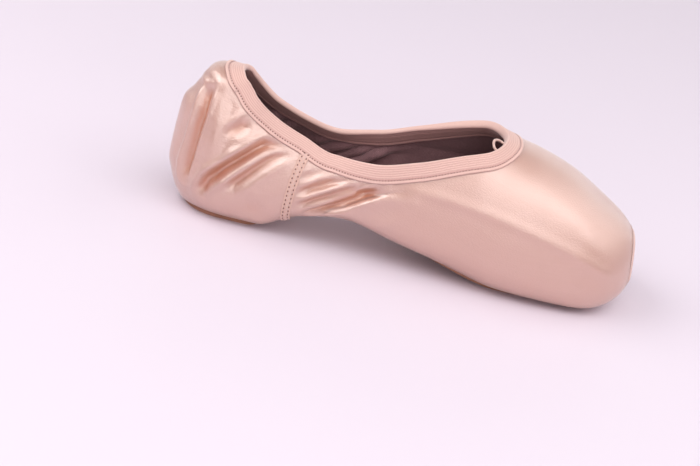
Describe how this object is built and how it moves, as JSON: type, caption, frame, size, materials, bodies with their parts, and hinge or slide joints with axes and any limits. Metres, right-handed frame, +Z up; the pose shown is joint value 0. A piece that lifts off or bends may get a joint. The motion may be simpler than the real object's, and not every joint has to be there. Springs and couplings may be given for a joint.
{
  "type": "pointe shoe",
  "caption": "Satin pointe shoe with a stiff flat-tipped box, stretch heel and arch, elastic-bound collar, drawcord loop and split leather sole.",
  "frame": {"origin": "on the floor under the middle of the shoe's box", "axes": "+X to the toe, +Y to the wearer's left, +Z up"},
  "size_m": [0.2346, 0.078, 0.0745],
  "materials": {
    "satin": "glossy pink-peach satin",
    "sole_leather": "brown split leather, matte",
    "sock_cloth": "mauve cotton sock",
    "platform_cloth": "dusty pink cloth, softer gloss than the satin",
    "elastic": "ribbed flat elastic",
    "seam_cloth": "sewn satin seam",
    "cord": "thin woven cord"
  },
  "bodies": {
    "root": {"upper": "satin", "outsole_fore": "sole_leather", "outsole_heel": "sole_leather", "insole": "sock_cloth", "platform_patch": "platform_cloth", "collar_binding": "elastic", "side_seam_right": "seam_cloth", "side_seam_left": "seam_cloth", "drawcord_loop": "cord"}
  },
  "joints": []
}
